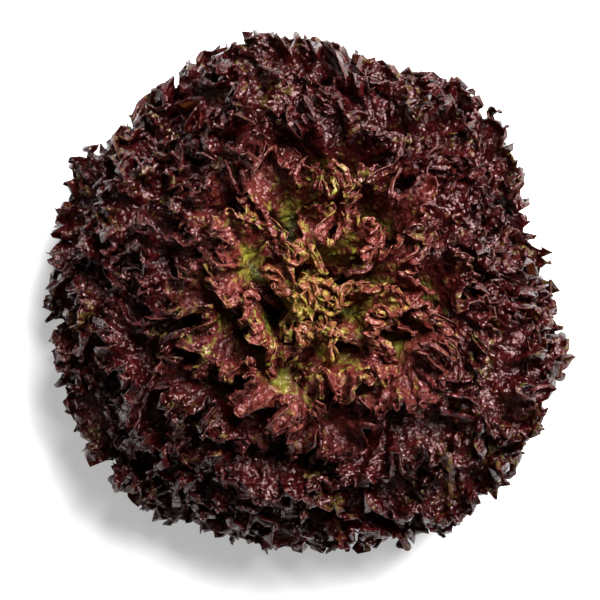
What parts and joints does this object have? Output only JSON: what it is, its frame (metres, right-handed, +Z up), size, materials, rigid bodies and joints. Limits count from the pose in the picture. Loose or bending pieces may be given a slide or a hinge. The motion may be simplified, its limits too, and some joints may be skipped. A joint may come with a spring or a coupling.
{
  "type": "lettuce head",
  "caption": "Loose head of red frilled lettuce: broad leaves with ruffled dark red margins in a spiral round a short cut stem, paler and smaller towards the green heart.",
  "frame": {"origin": "middle of the flat cut face of the stem, which the head stands on", "axes": "+Z up along the stem, out through the heart. +X is the side that the heart leans to."},
  "size_m": [0.2521, 0.2526, 0.1255],
  "materials": {
    "cut_stem": "pale moist plant tissue, browned where it was cut",
    "outer_leaf": "dark red leaf, satin, greener towards the rib",
    "middle_leaf": "red-brown leaf, satin, green towards the rib",
    "heart_leaf": "yellow-green leaf with red-brown edges, satin"
  },
  "bodies": {
    "root": {"stem": "cut_stem", "leaf_01": "outer_leaf", "leaf_02": "outer_leaf", "leaf_03": "outer_leaf", "leaf_04": "outer_leaf", "leaf_05": "outer_leaf", "leaf_06": "outer_leaf", "leaf_07": "outer_leaf", "leaf_08": "outer_leaf", "leaf_09": "outer_leaf", "leaf_10": "outer_leaf", "leaf_11": "outer_leaf", "leaf_12": "outer_leaf", "leaf_13": "outer_leaf", "leaf_14": "outer_leaf", "leaf_15": "outer_leaf", "leaf_16": "outer_leaf", "leaf_17": "outer_leaf", "leaf_18": "outer_leaf", "leaf_19": "outer_leaf", "leaf_20": "outer_leaf", "leaf_21": "outer_leaf", "leaf_22": "outer_leaf", "leaf_23": "outer_leaf", "leaf_24": "outer_leaf", "leaf_25": "outer_leaf", "leaf_26": "outer_leaf", "leaf_27": "outer_leaf", "leaf_28": "middle_leaf", "leaf_29": "middle_leaf", "leaf_30": "middle_leaf", "leaf_31": "middle_leaf", "leaf_32": "middle_leaf", "leaf_33": "middle_leaf", "leaf_34": "middle_leaf", "leaf_35": "middle_leaf", "leaf_36": "middle_leaf", "leaf_37": "middle_leaf", "leaf_38": "middle_leaf", "leaf_39": "middle_leaf", "leaf_40": "middle_leaf", "leaf_41": "middle_leaf", "leaf_42": "middle_leaf", "leaf_43": "middle_leaf", "leaf_44": "middle_leaf", "leaf_45": "middle_leaf", "leaf_46": "middle_leaf", "leaf_47": "heart_leaf", "leaf_48": "heart_leaf", "leaf_49": "heart_leaf", "leaf_50": "heart_leaf", "leaf_51": "heart_leaf", "leaf_52": "heart_leaf", "leaf_53": "heart_leaf", "leaf_54": "heart_leaf"}
  },
  "joints": []
}
